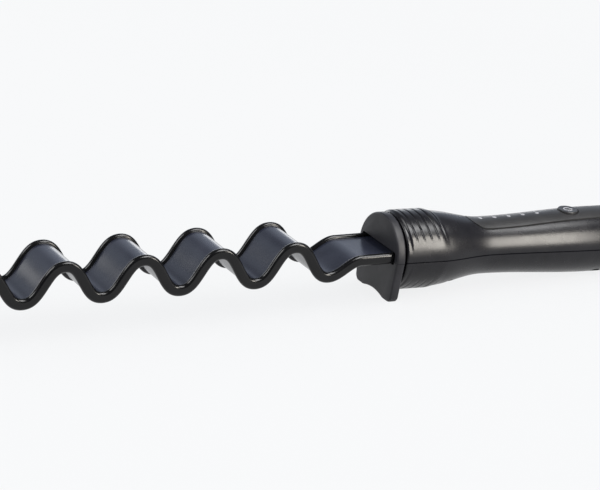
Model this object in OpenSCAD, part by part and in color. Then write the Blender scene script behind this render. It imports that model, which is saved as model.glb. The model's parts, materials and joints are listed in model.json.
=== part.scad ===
// Wave curling wand: a flat heated barrel bent into a row of waves, held in a
// two-shell handle behind a round guard whose lower edge forms two feet.
//
// Frames. The handle frame has +X along the handle towards the cord, its
// origin on the handle's axis at the guard's front face, and +Z towards the
// control panel. The barrel frame sits in it, canted down a little. Every node
// is then set down on its feet and tail by resting().

/* [Barrel] */
// Width of the barrel over its edge rails
barrel_w = 30; // [24:1:32]
// Distance from one crest of the wave to the next
wave_pitch = 38; // [34:1:46]
// Height of a crest above the middle of the wave
wave_amp = 8; // [5:0.5:9]
// Number of troughs along the barrel
wave_count = 5; // [3:1:6]
// How far the crests are flattened and the flanks steepened
wave_flat = 0.058; // [0:0.002:0.08]
// Length of the flank that runs out to each flat end
run_out = 16.6; // [14:0.2:22]
// Flat length of barrel in front of the guard
shank_front = 16.6; // [8:0.2:24]
// Flat length at the barrel's tip, inside and in front of the tip cap
tip_flat = 8; // [7:0.5:14]
// Drop of the flat ends below the middle of the wave
shank_drop = 1.1; // [0:0.1:3]
// Downward cant of the barrel from the handle's axis, in degrees
barrel_droop = 1.35; // [0:0.05:2]
// Height of the middle of the wave above the handle's axis, at the guard
barrel_rise = 2.55; // [1:0.05:4]
// Height of an edge rail
rail_h = 5.2; // [4.4:0.1:6.4]
// Width of an edge rail
rail_w = 3.2; // [2.8:0.1:4]
// Depth of the rail's groove, which grips the plates
rail_grip = 1.8; // [1:0.1:2]
// Thickness of one heating plate
plate_t = 0.8; // [0.6:0.05:1.2]
// Thickness of one mica sheet
mica_t = 0.25; // [0.15:0.05:0.4]
// Thickness of the heater foil
foil_t = 0.3; // [0.2:0.05:0.5]
// Length of the tip cap
tip_len = 11; // [10:0.5:16]

/* [Guard] */
// Thickness of the guard plate
guard_t = 4.6; // [3:0.1:6]
// How far the guard's round part stands out past the head
guard_rim = 0.2; // [0:0.05:1.5]
// How far the feet's soles stand below the head
foot_stand = 1.8; // [1.4:0.1:4]
// Half width across the feet
foot_half = 16.7; // [15:0.1:22]
// Corner radius of a foot
foot_corner = 3.6; // [2:0.2:5]
// Rise of the arch between the feet
arch_rise = 1.1; // [0.4:0.1:1.4]
// Gap between the guard and the handle
guard_gap = 1; // [0.6:0.1:2]

/* [Handle] */
// Radius of the head behind the guard
head_r = 18.1; // [17.5:0.1:21]
// Radius of the waist
waist_r = 13.8; // [13:0.1:16]
// Largest radius of the grip
grip_r = 16.05; // [15:0.05:19]
// Radius of the flat end of the tail
tail_r = 10; // [9.6:0.1:12]
// Where the neck starts, from the guard's front face
neck_from = 24; // [22:0.5:30]
// Where the neck reaches the waist
neck_to = 56.5; // [50:0.5:62]
// Where the tail starts to round off
tail_from = 128; // [126:0.5:140]
// Length of the handle from the guard's front face
handle_len = 150; // [148:0.5:165]
// Wall thickness of the shells
wall = 2.2; // [1.8:0.1:2.6]
// Rise of the ribbed thumb pad on top of the head
pad_rise = 1.1; // [0.6:0.1:1.4]
// Rise of the ribbed pad under the head
belly_rise = 0.6; // [0.4:0.1:1]
// Number of grooves across the ribbed pads
rib_count = 5; // [3:1:6]
// Distance between grooves
rib_pitch = 4; // [3:0.25:4.5]
// Lean of the grooves, in degrees
rib_lean = 12; // [0:1:15]

/* [Controls] */
// Half width of the recess that the control panel sits in
panel_half = 8.95; // [8:0.05:9.5]
// Gap between the panel and the edge of its recess
panel_gap = 0.9; // [0.4:0.05:1.2]
// Depth of the recess
panel_depth = 1.5; // [1.2:0.05:1.7]
// Front end of the recess
panel_front = 46.2; // [44:0.2:52]
// Back end of the recess
panel_back = 134; // [130:0.5:138]
// Radius of the power button
button_r = 5; // [4:0.1:5.5]
// Place of the power button
button_x = 105; // [98:0.5:110]
// Travel of the power button
button_travel = 0.6; // [0.3:0.05:0.6]
// Number of heat indicators
led_count = 5; // [3:1:5]
// Place of the first heat indicator
led_x = 54.7; // [54:0.1:60]
// Distance between heat indicators
led_pitch = 8.1; // [6:0.1:8.2]

/* [Swivel] */
// Radius of the swivel ball
ball_r = 8.2; // [7.6:0.1:8.6]
// Radius of the cord's hole in the ball
cord_r = 3.3; // [2.5:0.1:3.6]
// Radial running clearance of the ball in its seat
ball_clear = 0.1; // [0.05:0.01:0.1]

/* [Hidden] */
$fn = 72;

// A gap that only keeps two surfaces apart, and one that lets a piece be fitted
touch = 0.05;
fit = 0.3;

// The sandwich of the barrel, measured out from its middle
web_half = foil_t / 2 + mica_t + plate_t;
plate_w = barrel_w - 2 * (rail_w - rail_grip);

// The wave, in the barrel frame: the flat shank, the run out, the troughs and
// crests, and the run out to the flat tip
trough_x = -(shank_front + run_out);
crest_x = trough_x - (wave_count - 0.5) * wave_pitch;
tip_x = crest_x - run_out - tip_flat;
shank_back = 23;
rail_back = 2.5;

// Wave height at a phase in degrees, with its crests flattened
function wave_shape(a) = (cos(a) - wave_flat * cos(3 * a)) / (1 - wave_flat);
// A smooth step from 1 to 0 as q goes from 0 to 1
function ease(q) = (1 + cos(180 * min(max(q, 0), 1))) / 2;
function wave_z(x) =
    x > trough_x ? -shank_drop - (wave_amp - shank_drop) * ease((x - trough_x) / run_out)
    : x > crest_x ? -wave_amp * wave_shape(360 * (x - trough_x) / wave_pitch)
    : -shank_drop + (wave_amp + shank_drop) * ease((crest_x - x) / run_out);
function wave_angle(x) = atan((wave_z(x + 0.01) - wave_z(x - 0.01)) / 0.02);
function off_wave(x, n) = [x - n * sin(wave_angle(x)), wave_z(x) + n * cos(wave_angle(x))];

// Outline of a band between two distances from the wave's middle line. Every
// band has its corners at the same stations, so that stacked bands lie flush.
wave_step = wave_pitch / 20;
wave_from = tip_x - 10;
wave_stations = ceil((shank_back + 20 - wave_from) / wave_step);
function band(n0, n1) =
    concat([for (i = [0:wave_stations]) off_wave(wave_from + i * wave_step, n0)],
        [for (i = [wave_stations:-1:0]) off_wave(wave_from + i * wave_step, n1)]);

// The part of a band from xa to xb, as wide as w along Y
module wave_band(n0, n1, xa, xb, w) {
    rotate([90, 0, 0]) linear_extrude(w, center = true) intersection() {
        polygon(band(n0, n1));
        translate([xa, -30]) square([xb - xa, 60]);
    }
}

// Profile of the handle
function handle_r(x) =
    x < neck_from ? head_r
    : x < neck_to ? waist_r + (head_r - waist_r) * ease((x - neck_from) / (neck_to - neck_from))
    : x < tail_from ? grip_r - (grip_r - waist_r) * ease((x - neck_to) / (tail_from - 9 - neck_to))
    : tail_r + (grip_r - tail_r) * sqrt(max(0, 1 - pow((x - tail_from) / (handle_len - tail_from), 2)));

head_front = guard_t + guard_gap;
profile_step = 2.4;

// The handle's solid of revolution, with its skin moved by off
module turned(off, xa, xb) {
    steps = ceil((xb - xa) / profile_step);
    dx = (xb - xa) / steps;
    edge = [for (i = [0:steps]) [handle_r(xa + i * dx) + off, xa + i * dx]];
    rotate([0, 90, 0]) rotate_extrude() polygon(concat([[0, xa]], edge, [[0, xb]]));
}

// Setting down: the wand rests on its feet and on a flat under its tail
guard_r = head_r + guard_rim;
foot_drop = head_r + foot_stand;
foot_x = guard_t / 2;
tail_rest_x = tail_from;
tail_flat_depth = 0.25;
rest_tilt = atan((foot_drop - handle_r(tail_rest_x) + tail_flat_depth) / (tail_rest_x - foot_x));
shift_z = foot_x * sin(rest_tilt) + foot_drop * cos(rest_tilt);

// The swivel ball, cut flat around the cord's hole
ball_x = handle_len - 4;
ball_face = ball_x + ball_r - 1.2;
face_r = sqrt(pow(ball_r, 2) - pow(ball_face - ball_x, 2));

// The tip cap, and the middle of the whole wand along X once it is set down
tip_cap_h = rail_h + 0.8;
tip_end = tip_x - tip_len + tip_flat - 1;
tip_turn = rest_tilt - barrel_droop;
tip_reach = (tip_end + tip_cap_h / 2) * cos(tip_turn) - shank_drop * sin(tip_turn)
    - tip_cap_h / 2 + barrel_rise * sin(rest_tilt);
ball_reach = ball_face * cos(rest_tilt) + face_r * sin(rest_tilt);
shift_x = -(tip_reach + ball_reach) / 2;

module resting() {
    translate([shift_x, 0, shift_z]) rotate([0, rest_tilt, 0]) children();
}

// The barrel frame, inside the handle frame
module in_barrel() {
    translate([0, 0, barrel_rise]) rotate([0, -barrel_droop, 0]) children();
}

// The barrel frame, dropped to the level of its flat ends
module in_shank() {
    in_barrel() translate([0, 0, -shank_drop]) children();
}

// The space under the surface that the wand stands on
module under_ground() {
    rotate([0, -rest_tilt, 0])
        translate([-400 - shift_x, -60, -60 - shift_z]) cube([800, 120, 60]);
}

module upper_half() {
    translate([-20, -40, touch / 2]) cube([handle_len + 40, 80, 60]);
}

module lower_half() {
    translate([-20, -40, -60 - touch / 2]) cube([handle_len + 40, 80, 60]);
}

// A cylinder along X from xa to xb
module along_x(r, xa, xb) {
    translate([xa, 0, 0]) rotate([0, 90, 0]) cylinder(r = r, h = xb - xa);
}

// An upright cylinder from za to zb
module post(x, y, r, za, zb) {
    translate([x, y, za]) cylinder(r = r, h = zb - za, $fn = 36);
}

// Small upright box centred on x and y
module chip(x, y, za, size) {
    translate([x - size[0] / 2, y - size[1] / 2, za]) cube(size);
}

// The cross recess in a screw's head that faces down, as [length, width, depth]
module cross_recess(x, y, face, size) {
    chip(x, y, face - size[2], [size[0], size[1], 2 * size[2]]);
    chip(x, y, face - size[2], [size[1], size[0], 2 * size[2]]);
}

// How much thicker a wire is where it bends
knuckle = 1.12;

// A round wire through a list of points
module wire(points, r) {
    for (i = [0:len(points) - 2]) {
        d = points[i + 1] - points[i];
        translate(points[i])
            rotate([0, acos(d[2] / norm(d)), atan2(d[1], d[0])]) cylinder(r = r, h = norm(d), $fn = 24);
    }
    for (i = [1:len(points) - 2])
        translate(points[i]) rotate([90, 0, 0]) sphere(r = r * knuckle, $fn = 24);
}

// ---- Barrel ----

pin_x = 17.2;
pin_y = 8;
pin_r = 1.25;
pin_from = -7.6;
pin_to = 6.6;
pin_head_t = 0.8;
tip_screw_x = tip_x + 3;
tip_screw_r = 1;
tip_screw_to = 2.1;
tip_seat_z = -2.1;
tip_head_t = 0.8;

module shank_holes(r) {
    for (s = [-1, 1]) post(pin_x, s * pin_y, r, -9, 9);
    post(tip_screw_x, 0, r - pin_r + tip_screw_r, -9, 9);
}

module plate(n0, n1) {
    in_barrel() difference() {
        wave_band(n0, n1, tip_x, shank_back, plate_w);
        shank_holes(pin_r + touch);
    }
}

module upper_plate() color([0.16, 0.17, 0.2]) resting() plate(foil_t / 2 + mica_t, web_half);

module lower_plate() color([0.16, 0.17, 0.2]) resting() plate(-web_half, -foil_t / 2 - mica_t);

mica_w = plate_w - 1.2;

module mica(n0, n1) {
    in_barrel() difference() {
        wave_band(n0, n1, tip_x + 0.6, shank_back, mica_w);
        shank_holes(pin_r + fit);
    }
}

module upper_mica() color([0.75, 0.68, 0.5]) resting() mica(foil_t / 2, foil_t / 2 + mica_t);

module lower_mica() color([0.75, 0.68, 0.5]) resting() mica(-foil_t / 2 - mica_t, -foil_t / 2);

// The foil stops short of the tip screw, and its tail reaches past the plates
foil_tail_x = shank_back + 7;
foil_tail_w = 9;
foil_tail_z = barrel_rise - shank_drop + foil_tail_x * sin(barrel_droop);

module heater_foil() color([0.72, 0.45, 0.2]) resting() in_barrel() difference() {
    union() {
        wave_band(-foil_t / 2, foil_t / 2, tip_screw_x + 3, shank_back - 8, mica_w - 1);
        wave_band(-foil_t / 2, foil_t / 2, shank_back - 9, foil_tail_x, foil_tail_w);
    }
    shank_holes(pin_r + fit);
}

// The rail is a band with a groove for the plates in its inner side
module rail(side) {
    groove_w = rail_grip + 2;
    in_barrel() difference() {
        translate([0, side * (barrel_w - rail_w) / 2, 0])
            wave_band(-rail_h / 2, rail_h / 2, tip_x + tip_flat - 2, rail_back, rail_w);
        translate([0, side * (plate_w / 2 + touch - groove_w / 2), 0])
            wave_band(-web_half - touch, web_half + touch, tip_x - 3, rail_back + 3, groove_w);
    }
}

module left_rail() color([0.03, 0.03, 0.035]) resting() rail(-1);

module right_rail() color([0.03, 0.03, 0.035]) resting() rail(1);

// The cap's outline from above has two round corners
tip_corner = 5;
cap_root = tip_x + tip_flat - 2 - touch;

module tip_outline() {
    half = barrel_w / 2;
    translate([tip_end + tip_corner, -half]) square([cap_root - tip_end - tip_corner, barrel_w]);
    translate([tip_end, -half + tip_corner]) square([tip_corner + 1, barrel_w - 2 * tip_corner]);
    for (s = [-1, 1]) translate([tip_end + tip_corner, s * (half - tip_corner)]) circle(r = tip_corner);
}

module tip_cap() color([0.04, 0.04, 0.045]) resting() in_shank() difference() {
    intersection() {
        translate([0, 0, -tip_cap_h / 2]) linear_extrude(tip_cap_h) tip_outline();
        union() {
            translate([tip_end + tip_cap_h / 2, 0, 0]) rotate([90, 0, 0])
                cylinder(r = tip_cap_h / 2, h = barrel_w + 2, center = true);
            translate([tip_end + tip_cap_h / 2, -barrel_w, -tip_cap_h / 2])
                cube([tip_len * 2, barrel_w * 2, tip_cap_h]);
        }
    }
    translate([tip_x - touch, -plate_w / 2 - touch, -web_half - touch])
        cube([tip_len * 2, plate_w + 2 * touch, 2 * (web_half + touch)]);
    post(tip_screw_x, 0, tip_screw_r + touch, -tip_cap_h, tip_screw_to + touch);
    post(tip_screw_x, 0, 2 * tip_screw_r, -tip_cap_h, tip_seat_z);
}

module tip_screw() color([0.6, 0.6, 0.62]) resting() in_shank() difference() {
    union() {
        post(tip_screw_x, 0, tip_screw_r, tip_seat_z - tip_head_t / 2, tip_screw_to);
        post(tip_screw_x, 0, 1.8 * tip_screw_r, tip_seat_z - tip_head_t, tip_seat_z - touch);
    }
    cross_recess(tip_screw_x, 0, tip_seat_z - tip_head_t, [2.2, 0.5, 0.4]);
}

module shank_pins() color([0.7, 0.7, 0.72]) resting() in_barrel() for (s = [-1, 1]) {
    post(pin_x, s * pin_y, pin_r, pin_from, pin_to);
    post(pin_x, s * pin_y, pin_r + 0.8, pin_to, pin_to + pin_head_t);
}

// ---- Inside the head ----

flange_x = head_front + 2.5;
flange_t = 2;
collar_from = flange_x + flange_t + 0.8;
collar_to = 24;
collar_r = head_r - wall - 0.2;
tunnel_w = 11;
tunnel_h = 4.6;

// A ceramic-filled block in two halves that grips the shank
module collar() {
    difference() {
        along_x(collar_r, collar_from, collar_to);
        in_shank() {
            translate([0, -plate_w / 2 - touch, -web_half - touch])
                cube([60, plate_w + 2 * touch, 2 * (web_half + touch)]);
            translate([0, -tunnel_w / 2, 0]) cube([60, tunnel_w, tunnel_h]);
        }
        in_barrel() for (s = [-1, 1]) {
            post(pin_x, s * pin_y, pin_r + touch, pin_from - touch, pin_to + 1);
            post(pin_x, s * pin_y, pin_r + 0.9, pin_to, 30);
        }
    }
}

collar_split = barrel_rise - shank_drop;

module upper_collar() color([0.82, 0.8, 0.74]) resting() intersection() {
    collar();
    translate([0, -30, collar_split]) cube([60, 60, 60]);
}

module lower_collar() color([0.82, 0.8, 0.74]) resting() intersection() {
    collar();
    translate([0, -30, collar_split - 60 - touch]) cube([60, 60, 60]);
}

sensor_z = web_half - shank_drop;

thermistor_r = 0.9;
thermistor_len = 4;
thermistor_y = -2.4;
fuse_r = 1.5;
fuse_len = 9;
fuse_y = 2;

module thermistor() color([0.85, 0.55, 0.3]) resting() in_barrel()
    translate([0, thermistor_y, sensor_z + thermistor_r + touch])
        along_x(thermistor_r, collar_from + 1.5, collar_from + 1.5 + thermistor_len);

module thermal_fuse() color([0.88, 0.88, 0.84]) resting() in_barrel()
    translate([0, fuse_y, sensor_z + fuse_r + touch])
        along_x(fuse_r, collar_from + 1, collar_from + 1 + fuse_len);

// The shield stands between two ribs of the shells
shield_x = collar_to + 2;
shield_t = 0.8;
shield_r = 13.2;

module heat_shield() color([0.8, 0.78, 0.7]) resting() difference() {
    along_x(shield_r, shield_x, shield_x + shield_t);
    in_barrel() translate([collar_to, -foil_tail_w / 2 - fit, -shank_drop - 2])
        cube([6, foil_tail_w + 2 * fit, 5]);
}

// ---- Guard and feet ----

spigot_r = head_r - 3.3;
flange_r = head_r - wall - 0.2;
slot_clear = 0.5;

// Outline across the guard: the round upper part and the square-footed lower part
module guard_outline() {
    corner_y = foot_half - foot_corner;
    corner_z = -foot_drop - 0.6 + foot_corner;
    difference() {
        union() {
            circle(r = guard_r);
            polygon([[-guard_r, 0], [guard_r, 0], [foot_half, corner_z], [-foot_half, corner_z]]);
            translate([-corner_y, corner_z - foot_corner]) square([2 * corner_y, foot_corner + 1]);
            for (s = [-1, 1]) translate([s * corner_y, corner_z]) circle(r = foot_corner);
        }
        arch();
    }
}

// A shallow arch whose chord runs between the soles
module arch() {
    half = foot_half - 2 * foot_corner;
    r = (pow(half, 2) + pow(arch_rise + 0.6, 2)) / (2 * (arch_rise + 0.6));
    translate([0, -foot_drop + arch_rise - r]) circle(r = r, $fn = 144);
}

module guard() {
    difference() {
        union() {
            rotate([90, 0, 90]) linear_extrude(guard_t) guard_outline();
            along_x(spigot_r, guard_t - 1, flange_x + flange_t);
            along_x(flange_r, flange_x, flange_x + flange_t);
        }
        in_shank() {
            translate([-5, -barrel_w / 2 - slot_clear, -rail_h / 2 - slot_clear])
                cube([5 + rail_back + slot_clear, barrel_w + 2 * slot_clear, rail_h + 2 * slot_clear]);
            translate([0, -plate_w / 2 - fit, -web_half - fit])
                cube([30, plate_w + 2 * fit, 2 * (web_half + fit)]);
        }
        along_x(spigot_r - 2.2, guard_t, flange_x + flange_t + 1);
        under_ground();
    }
}

module upper_guard() color([0.1, 0.1, 0.11]) resting() intersection() {
    guard();
    upper_half();
}

module lower_guard() color([0.1, 0.1, 0.11]) resting() intersection() {
    guard();
    lower_half();
}

// ---- Shells ----

pad_from = 8.6;
groove_half = 0.6;
pad_to = pad_from + rib_count * rib_pitch - groove_half;
pad_skin = 0.35;
belly_skin = 0.2;
spigot_fit = 0.2;
screw_spots = [[36, 8.4], [120.9, 8]];
boss_r = 2.8;
lower_boss_r = 3.6;
screw_r = 1.25;
screw_to = 6.5;
screw_head_r = 2.3;
screw_head_t = 1.8;
screw_seat_z = -6.5;
board_boss_r = 2;
board_screw_r = 0.9;
board_head_r = 1.8;
board_head_t = 1.3;
board_spots = [[51, 5.4], [112.5, 5.4]];
board_z = 4.5;
board_t = 1.6;
board_top = board_z + board_t;
board_screw_to = board_top + 3;
seat_from = handle_len - 11.5;
neck_r = 4.9;
neck_clear = 0.4;
drum_from = seat_from - 13.5;
block_r = 10.6;
rib_t = 1.6;
// The ribs inside the shells, as [where, radius of the hole through them]
inner_ribs = [[shield_x - rib_t - 0.2, shield_r - 0.8], [shield_x + shield_t + 0.2, shield_r - 0.8],
    [drum_from + 1.5, block_r + touch], [seat_from - 4, block_r + touch]];

// One groove across a pad, leaning so that its sides lie further back
module groove(x, r, side) {
    translate([x, 0, 0]) rotate([0, side * rib_lean, 0]) rotate([0, 90, 0]) rotate_extrude()
        polygon([[r / cos(rib_lean), 0], [r / cos(rib_lean) + 2, groove_half],
            [r / cos(rib_lean) + 2, -groove_half]]);
}

// The skin of the head and handle, with both ribbed pads
module skin() {
    difference() {
        union() {
            turned(0, head_front, handle_len);
            translate([0, 0, pad_rise]) along_x(head_r, pad_from, pad_to);
            translate([0, 0, -belly_rise]) along_x(head_r, pad_from, pad_to);
        }
        for (i = [0:rib_count - 1]) {
            intersection() {
                groove(pad_from + (i + 0.5) * rib_pitch - groove_half, head_r + pad_skin, -1);
                upper_half();
            }
            intersection() {
                groove(pad_from + (i + 0.5) * rib_pitch - groove_half, head_r + belly_skin, 1);
                lower_half();
            }
        }
    }
}

// What is hollow inside the closed shells
module hollow() {
    difference() {
        union() {
            turned(-wall, head_front + wall, seat_from);
            along_x(spigot_r + spigot_fit, head_front - 1, head_front + wall + 1);
        }
        for (rib = inner_ribs) difference() {
            along_x(head_r, rib[0], rib[0] + rib_t);
            along_x(rib[1], rib[0] - 1, rib[0] + rib_t + 1);
        }
    }
}

// A ball whose poles lie on the handle's axis
module ball(r) {
    translate([ball_x, 0, 0]) rotate([0, 90, 0]) sphere(r = r);
}

module swivel_room() {
    ball(ball_r + ball_clear);
    along_x(neck_r + neck_clear, seat_from - 5, ball_x);
}

// Plan of the panel or of its recess, with round ends
module tongue(half, xa, xb) {
    translate([xa + half, -half]) square([xb - xa - 2 * half, 2 * half]);
    for (x = [xa + half, xb - half]) translate([x, 0]) circle(r = half);
}

module panel_recess() {
    difference() {
        linear_extrude(40) tongue(panel_half, panel_front, panel_back);
        turned(-panel_depth, head_front, handle_len);
    }
}

pipe_r = 1;
pipe_clear = 0.2;
slide_clear = 0.1;
function led_at(i) = led_x + i * led_pitch;

module upper_shell() color([0.05, 0.05, 0.055]) resting() difference() {
    union() {
        intersection() {
            difference() {
                skin();
                hollow();
                swivel_room();
            }
            upper_half();
        }
        intersection() {
            turned(-wall / 2, head_front, handle_len);
            union() {
                for (p = screw_spots, s = [-1, 1]) post(p[0], s * p[1], boss_r, touch / 2, 30);
                for (p = board_spots, s = [-1, 1]) post(p[0], s * p[1], board_boss_r, board_top + touch, 30);
            }
        }
    }
    for (p = screw_spots, s = [-1, 1]) post(p[0], s * p[1], screw_r + touch, -1, screw_to + fit);
    for (p = board_spots, s = [-1, 1])
        post(p[0], s * p[1], board_screw_r + touch, 0, board_screw_to + fit);
    panel_recess();
    post(button_x, 0, button_r + slide_clear, 0, 40);
    for (i = [0:led_count - 1]) post(led_at(i), 0, pipe_r + pipe_clear, 0, 40);
}

module lower_shell() color([0.05, 0.05, 0.055]) resting() difference() {
    union() {
        intersection() {
            difference() {
                skin();
                hollow();
                swivel_room();
            }
            lower_half();
        }
        intersection() {
            turned(-wall / 2, head_front, handle_len);
            for (p = screw_spots, s = [-1, 1]) post(p[0], s * p[1], lower_boss_r, -30, -touch / 2);
        }
    }
    for (p = screw_spots, s = [-1, 1]) {
        post(p[0], s * p[1], screw_r + touch, -30, 1);
        post(p[0], s * p[1], screw_head_r + fit, -30, screw_seat_z);
    }
    under_ground();
}

module case_screws() color([0.35, 0.35, 0.37]) resting() for (p = screw_spots, s = [-1, 1]) difference() {
    union() {
        post(p[0], s * p[1], screw_r, screw_seat_z - screw_head_t / 2, screw_to);
        post(p[0], s * p[1], screw_head_r, screw_seat_z - screw_head_t, screw_seat_z);
    }
    cross_recess(p[0], s * p[1], screw_seat_z - screw_head_t, [2.8, 0.6, 0.7]);
}

// ---- Controls ----

panel_skin = 0.1;
button_top = handle_r(button_x) + 0.3;
button_flange_r = button_r + 1.2;
flange_bottom = 10.9;
button_flange_t = 0.8;
switch_h = 3.5;
switch_w = 6;
plunger_r = 1.7;
plunger_from = board_top + switch_h - 1.1;

module control_panel() color([0.09, 0.09, 0.095]) resting() difference() {
    intersection() {
        linear_extrude(40) tongue(panel_half - panel_gap, panel_front + panel_gap, panel_back - panel_gap);
        turned(-panel_skin, head_front, handle_len);
    }
    turned(touch - panel_depth, head_front, handle_len);
    post(button_x, 0, button_r + fit, 0, 40);
    for (i = [0:led_count - 1]) post(led_at(i), 0, pipe_r + touch, 0, 40);
}

module light_pipes() color([0.85, 0.87, 0.9]) resting() for (i = [0:led_count - 1])
    post(led_at(i), 0, pipe_r, board_top + led_size[2] + fit, handle_r(led_at(i)) - panel_skin);

module power_button() color([0.12, 0.12, 0.125]) resting() {
    post(button_x, 0, button_r, flange_bottom, button_top);
    post(button_x, 0, button_flange_r, flange_bottom, flange_bottom + button_flange_t);
}

module switch_plunger() color([0.7, 0.1, 0.1]) resting()
    post(button_x, 0, plunger_r, plunger_from, flange_bottom);

module tact_switch() color([0.2, 0.2, 0.2]) resting() difference() {
    chip(button_x, 0, board_top, [switch_w, switch_w, switch_h]);
    post(button_x, 0, plunger_r + slide_clear, plunger_from - button_travel - 0.2, board_top + 10);
}

board_from = 47.5;
board_to = 117;
board_half = 9;

module circuit_board() color([0.1, 0.35, 0.2]) resting() difference() {
    chip((board_from + board_to) / 2, 0, board_z, [board_to - board_from, 2 * board_half, board_t]);
    for (p = board_spots, s = [-1, 1]) post(p[0], s * p[1], board_screw_r + 0.2, 0, 20);
}

module board_screws() color([0.65, 0.65, 0.68]) resting() for (p = board_spots, s = [-1, 1]) {
    post(p[0], s * p[1], board_screw_r, board_z - board_head_t / 2, board_screw_to);
    post(p[0], s * p[1], board_head_r, board_z - board_head_t, board_z);
}

// Components on top of the board and under it, as sizes along X, Y and Z
led_size = [2, 1.2, 0.8];
chip_size = [5, 4, 1.5];
chip_spot = [96, -5];
triac_size = [15, 10, 4.5];
triac_x = 66;
capacitor_size = [13, 9, 9];
capacitor_x = 84;
board_fuse_r = 2.6;
board_fuse_from = 94;
board_fuse_len = 14;

module indicator_leds() color([0.95, 0.9, 0.7]) resting() for (i = [0:led_count - 1])
    chip(led_at(i), 0, board_top, led_size);

module controller_chip() color([0.06, 0.06, 0.06]) resting()
    chip(chip_spot[0], chip_spot[1], board_top, chip_size);

module triac() color([0.08, 0.08, 0.08]) resting()
    chip(triac_x, 0, board_z - triac_size[2], triac_size);

module capacitor() color([0.65, 0.2, 0.12]) resting()
    chip(capacitor_x, 0, board_z - capacitor_size[2], capacitor_size);

module board_fuse() color([0.85, 0.85, 0.8]) resting() translate([0, 0, board_z - board_fuse_r])
    along_x(board_fuse_r, board_fuse_from, board_fuse_from + board_fuse_len);

// ---- Swivel in the tail ----

ring_w = 3;
ring_r = neck_r + 1.3;
ring_clear = 0.7;
ring_starts = [drum_from + 2, drum_from + 7.5];
wire_way_r = 1.6;
spring_w = 1.8;
spring_t = 0.4;
spring_slot = [2, 2 * ring_r + 1.6];

module swivel_ball() color([0.05, 0.05, 0.05]) resting() difference() {
    union() {
        intersection() {
            ball(ball_r);
            along_x(ball_r * 2, ball_x - ball_r - 1, ball_face);
        }
        along_x(neck_r, drum_from, ball_x);
    }
    along_x(cord_r, ball_x - 5, ball_face + 1);
    along_x(wire_way_r, drum_from - 1, ball_x);
}

module slip_rings() color([0.78, 0.6, 0.25]) resting() for (x = ring_starts) difference() {
    along_x(ring_r, x, x + ring_w);
    along_x(neck_r, x - 1, x + ring_w + 1);
}

module brush_block() color([0.85, 0.83, 0.78]) resting() difference() {
    along_x(block_r, drum_from, seat_from - 0.6);
    along_x(ring_r + ring_clear, drum_from - 1, seat_from + 1);
    for (x = ring_starts)
        chip(x + ring_w / 2, 0, 3, [spring_slot[0], spring_slot[1], block_r]);
}

module contact_springs() color([0.8, 0.62, 0.3]) resting() for (x = ring_starts)
    chip(x + ring_w / 2, 0, ring_r + touch, [spring_w, spring_slot[1] - 0.2, spring_t]);

// ---- Leads ----

lead_r = 0.85;
foil_lead_z = foil_tail_z - foil_t / 2 - lead_r - 2 * touch;
foil_lead_y = 2.2;
foil_lead_to = board_from + 3;
block_lead_z = (ring_r + block_r) / 2;
block_lead_y = 2.6;
block_lead_to = board_to - 2;

// From under the foil's tail, straight back and up to the underside of the board
module heater_leads() color([0.75, 0.75, 0.7]) resting() for (s = [-1, 1])
    wire([[shield_x + shield_t + fit, s * foil_lead_y, foil_lead_z],
        [foil_lead_to, s * foil_lead_y, foil_lead_z],
        [foil_lead_to, s * foil_lead_y, board_z - touch]], lead_r);

// From the brush block's face to the top of the board
module mains_leads() color([0.2, 0.3, 0.65]) resting() for (s = [-1, 1])
    wire([[drum_from - touch, s * block_lead_y, block_lead_z],
        [block_lead_to, s * block_lead_y, block_lead_z],
        [block_lead_to, s * block_lead_y, board_top + touch]], lead_r);

upper_plate();
lower_plate();
upper_mica();
lower_mica();
heater_foil();
left_rail();
right_rail();
tip_cap();
tip_screw();
shank_pins();
thermistor();
thermal_fuse();
upper_collar();
lower_collar();
heat_shield();
upper_guard();
lower_guard();
upper_shell();
lower_shell();
control_panel();
light_pipes();
power_button();
switch_plunger();
tact_switch();
circuit_board();
indicator_leds();
controller_chip();
triac();
capacitor();
board_fuse();
board_screws();
case_screws();
heater_leads();
mains_leads();
swivel_ball();
slip_rings();
brush_block();
contact_springs();
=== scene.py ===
"""Wave curling wand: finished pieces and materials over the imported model."""
import json
import math

import bmesh
import bpy
import numpy as np
from mathutils import Matrix, Vector

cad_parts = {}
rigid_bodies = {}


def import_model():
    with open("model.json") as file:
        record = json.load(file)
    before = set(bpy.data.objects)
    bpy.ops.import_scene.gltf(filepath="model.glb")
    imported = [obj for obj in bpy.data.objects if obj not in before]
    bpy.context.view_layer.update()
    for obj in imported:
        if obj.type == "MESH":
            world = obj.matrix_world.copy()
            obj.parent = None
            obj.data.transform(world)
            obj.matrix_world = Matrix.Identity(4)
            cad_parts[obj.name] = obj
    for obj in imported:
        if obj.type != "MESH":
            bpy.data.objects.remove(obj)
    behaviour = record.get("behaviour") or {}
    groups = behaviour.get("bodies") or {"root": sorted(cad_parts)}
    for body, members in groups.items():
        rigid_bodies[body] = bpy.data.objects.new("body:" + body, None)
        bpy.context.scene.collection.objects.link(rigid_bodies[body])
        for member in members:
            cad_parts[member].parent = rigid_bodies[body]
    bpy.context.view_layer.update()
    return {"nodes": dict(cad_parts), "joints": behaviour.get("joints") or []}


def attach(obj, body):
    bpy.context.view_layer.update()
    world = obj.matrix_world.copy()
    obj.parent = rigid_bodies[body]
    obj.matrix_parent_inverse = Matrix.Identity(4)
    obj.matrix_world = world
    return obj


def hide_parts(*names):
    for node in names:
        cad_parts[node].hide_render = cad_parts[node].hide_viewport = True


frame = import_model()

scene = bpy.context.scene

# ---- Sizes in millimetres, as the wand is made ----

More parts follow.
